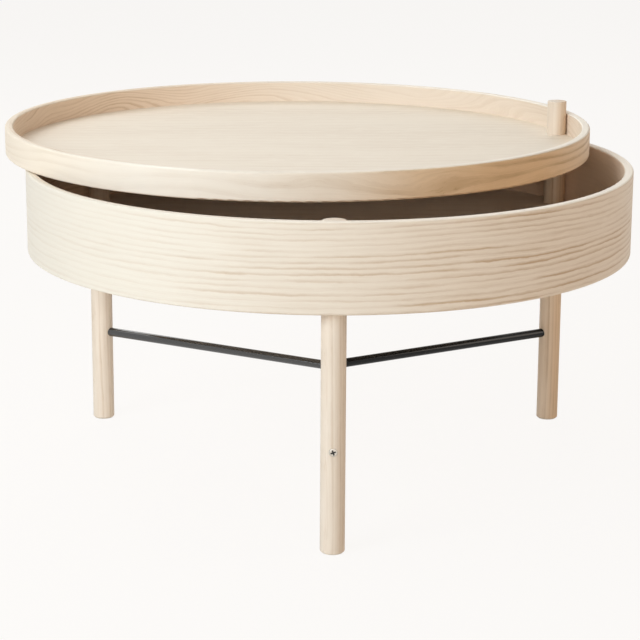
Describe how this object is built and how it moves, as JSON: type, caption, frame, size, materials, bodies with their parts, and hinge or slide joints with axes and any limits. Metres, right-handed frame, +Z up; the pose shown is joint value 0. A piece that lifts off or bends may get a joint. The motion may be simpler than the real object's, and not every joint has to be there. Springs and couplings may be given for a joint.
{
  "type": "storage side table",
  "caption": "Low round side table: a bent-ply storage drum on round legs with a rod stretcher, and a tray top that turns about the peg of one leg.",
  "frame": {"origin": "on the drum's axis at the floor, the point midway between the undersides of the foot glides", "axes": "+Z up; the front leg stands towards -Y; +X to the right seen from the front; the pivot leg is at the back right"},
  "size_m": [0.6825, 0.7371, 0.3775],
  "materials": {
    "ash_veneer": "clear matt varnish",
    "ash_solid": "clear matt varnish",
    "black_steel": "black satin paint",
    "zinc_steel": "zinc plated",
    "nylon": "natural matt"
  },
  "bodies": {
    "stand": {"drum_wall": "ash_veneer", "drum_floor": "ash_veneer", "front_leg": "ash_solid", "left_leg": "ash_solid", "pivot_leg": "ash_solid", "front_foot_glide": "nylon", "left_foot_glide": "nylon", "pivot_foot_glide": "nylon", "stretcher_hub": "black_steel", "front_stretcher_rod": "black_steel", "left_stretcher_rod": "black_steel", "pivot_stretcher_rod": "black_steel", "front_stretcher_screw": "zinc_steel", "left_stretcher_screw": "zinc_steel", "pivot_stretcher_screw": "zinc_steel", "front_leg_upper_screw": "zinc_steel", "front_leg_lower_screw": "zinc_steel", "left_leg_upper_screw": "zinc_steel", "left_leg_lower_screw": "zinc_steel", "pivot_leg_upper_screw": "zinc_steel", "pivot_leg_lower_screw": "zinc_steel"},
    "pivot_washer": {"thrust_washer": "nylon"},
    "tray": {"tray_rim": "ash_veneer", "tray_panel": "ash_veneer", "pivot_bush": "nylon"}
  },
  "joints": [
    {"name": "tray_turn", "type": "hinge", "parent": "stand", "child": "pivot_washer", "pos_m": [0.26258, 0.1516, 0.333], "axis": [0, 0, 1], "continuous": true},
    {"name": "tray_lift", "type": "slide", "parent": "pivot_washer", "child": "tray", "axis": [0, 0, 1], "range_m": [0, 0.04]}
  ]
}
